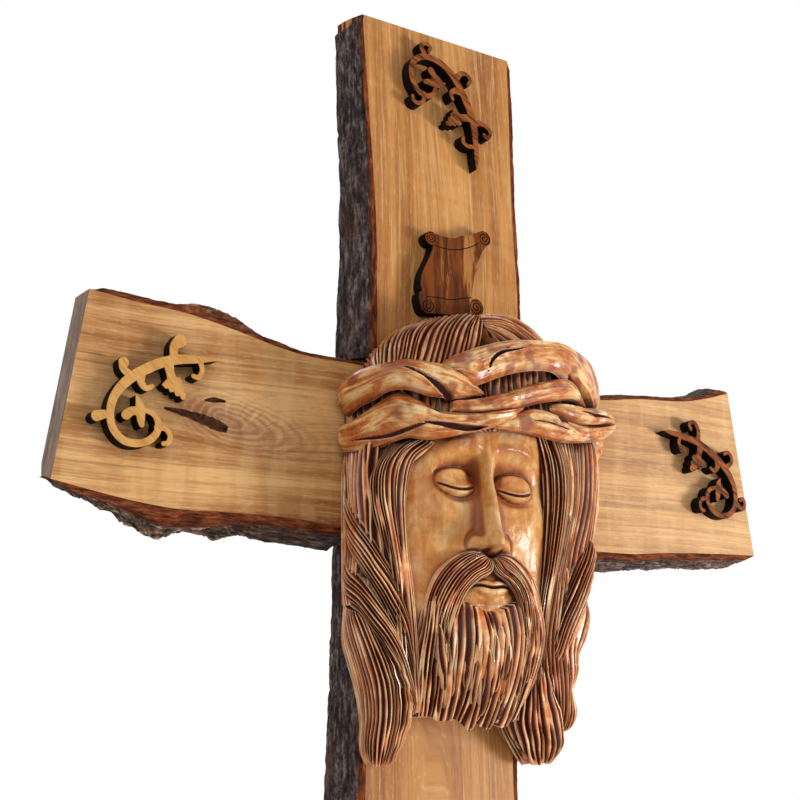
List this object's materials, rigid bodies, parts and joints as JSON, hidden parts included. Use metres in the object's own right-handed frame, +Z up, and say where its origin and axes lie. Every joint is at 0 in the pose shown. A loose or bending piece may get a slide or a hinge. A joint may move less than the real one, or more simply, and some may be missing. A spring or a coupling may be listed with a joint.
{
  "type": "wall cross",
  "caption": "Wall-hung live-edge wooden cross with a carved relief head, a bare scroll plaque and sawn foliate ornaments, held at a keyhole hanger in its back.",
  "frame": {"origin": "the point of the keyhole hanger that rests on the wall's nail, in the plane of the boards' back", "axes": "+Z up along the post, +X to the right as the front is seen, the front faces -Y"},
  "size_m": [0.5365, 0.0891, 0.74],
  "materials": {
    "board_wood": "clear satin lacquer on planed hardwood, long grain with a knot and drying cracks in the beam",
    "bark": "rough fissured grey-brown bark with a dark red inner layer at the face",
    "carving_wood": "amber stain, dark plum-brown in the grooves, under gloss lacquer",
    "light_plywood": "laser-cut light plywood with burnt black edges",
    "dark_plywood": "laser-cut dark-stained wood with burnt black edges",
    "zinc_steel": "zinc-plated steel"
  },
  "bodies": {
    "root": {"post": "board_wood", "crossbeam": "board_wood", "post_bark_left": "bark", "post_bark_right": "bark", "crossbeam_bark_upper": "bark", "crossbeam_bark_lower": "bark", "carved_head": "carving_wood", "scroll_plaque": "dark_plywood", "ornament_left": "light_plywood", "ornament_top": "dark_plywood", "ornament_right": "dark_plywood", "ornament_foot": "dark_plywood", "hanger_plate": "zinc_steel", "hanger_screw_1": "zinc_steel", "hanger_screw_2": "zinc_steel", "lap_screw_1": "zinc_steel", "lap_screw_2": "zinc_steel", "lap_screw_3": "zinc_steel", "lap_screw_4": "zinc_steel", "head_screw_1": "zinc_steel", "head_screw_2": "zinc_steel", "head_screw_3": "zinc_steel", "head_screw_4": "zinc_steel"}
  },
  "joints": []
}
